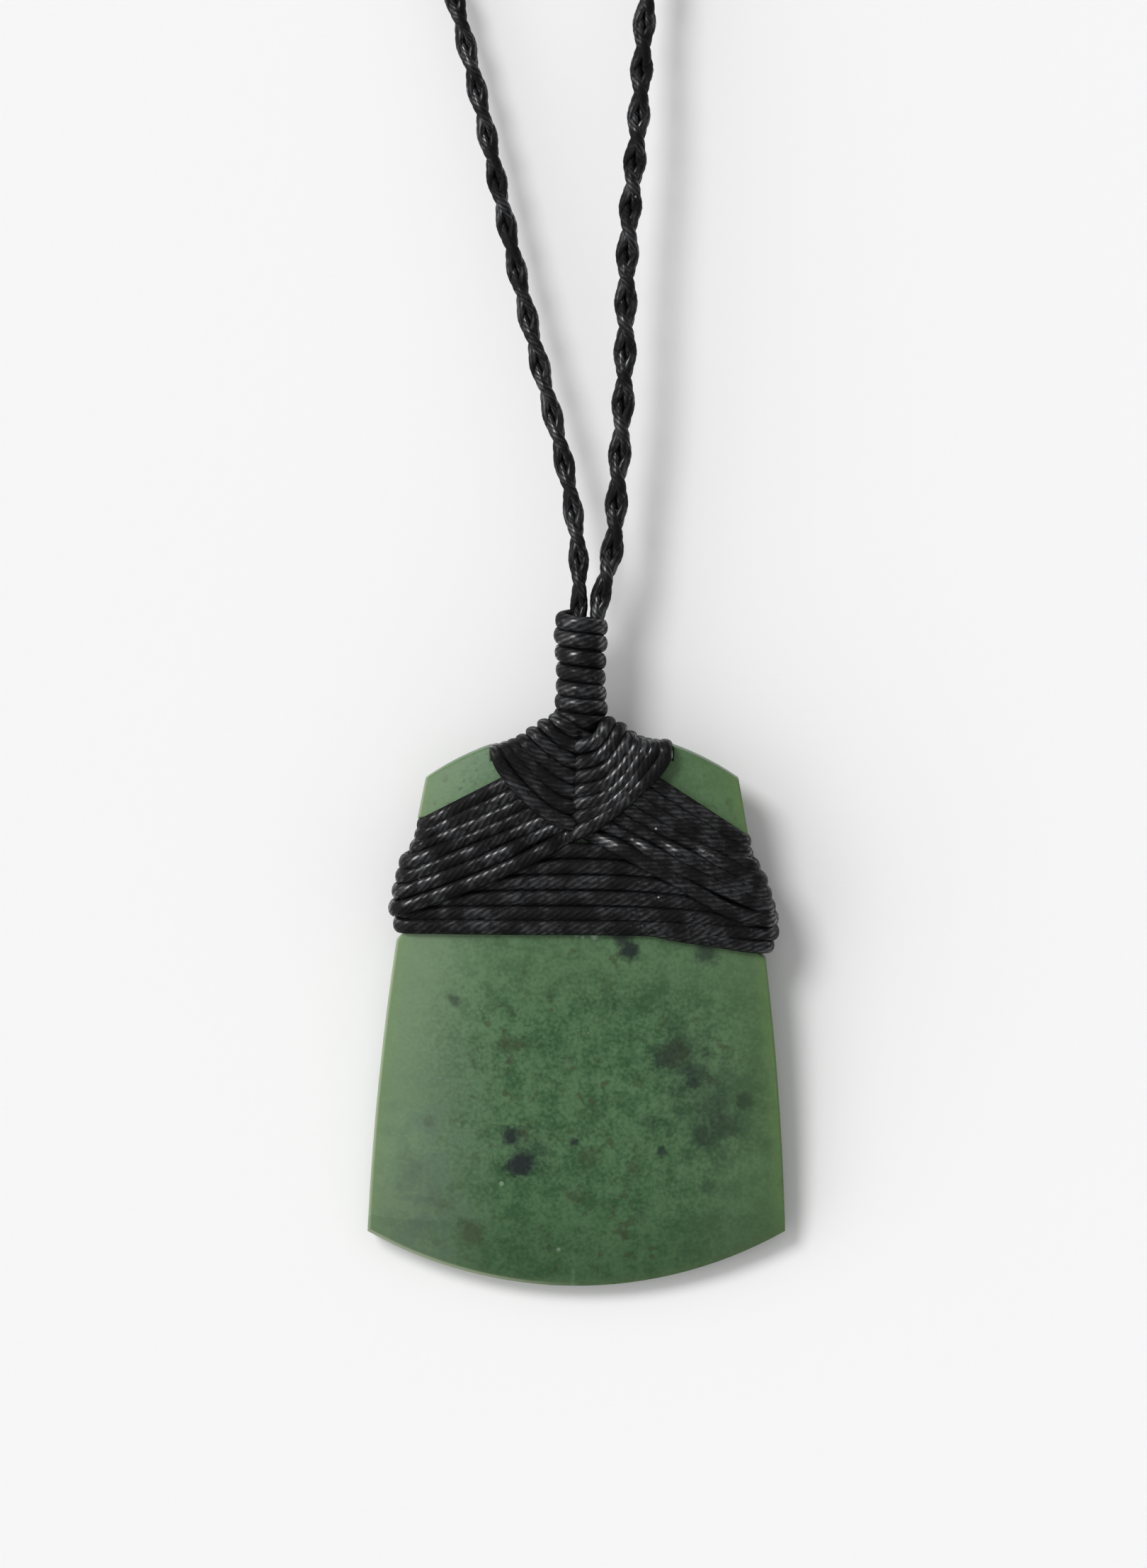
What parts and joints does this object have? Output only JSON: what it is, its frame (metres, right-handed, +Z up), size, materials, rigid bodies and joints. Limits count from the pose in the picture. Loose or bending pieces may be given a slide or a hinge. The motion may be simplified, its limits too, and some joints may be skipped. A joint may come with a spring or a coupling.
{
  "type": "adze pendant necklace",
  "caption": "Flat greenstone adze pendant, bound at its narrow end with thin black waxed cord, on a plaited black neck cord that makes one closed loop.",
  "frame": {"origin": "middle of the box of the whole necklace as it is laid out, on the surface it lies on", "axes": "+X across the blade to the right, +Y from the blade's cutting edge to the nape, +Z up from the surface, out of the blade's front face"},
  "size_m": [0.1201, 0.3308, 0.0094],
  "materials": {
    "greenstone": "satin, lightly polished",
    "waxed_cord": "dull wax",
    "plaited_cord": "dull wax"
  },
  "bodies": {
    "root": {"toki_blade": "greenstone", "band_wrap_1": "waxed_cord", "band_wrap_2": "waxed_cord", "band_wrap_3": "waxed_cord", "band_wrap_4": "waxed_cord", "band_wrap_5": "waxed_cord", "band_wrap_6": "waxed_cord", "cross_wrap_1": "waxed_cord", "cross_wrap_2": "waxed_cord", "cross_wrap_3": "waxed_cord", "cross_wrap_4": "waxed_cord", "cross_wrap_5": "waxed_cord", "cross_wrap_6": "waxed_cord", "neck_core": "waxed_cord", "neck_turn_1": "waxed_cord", "neck_turn_2": "waxed_cord", "neck_turn_3": "waxed_cord", "neck_turn_4": "waxed_cord", "neck_turn_5": "waxed_cord", "neck_turn_6": "waxed_cord", "neck_turn_7": "waxed_cord", "left_plait": "plaited_cord", "right_plait": "plaited_cord"}
  },
  "joints": []
}
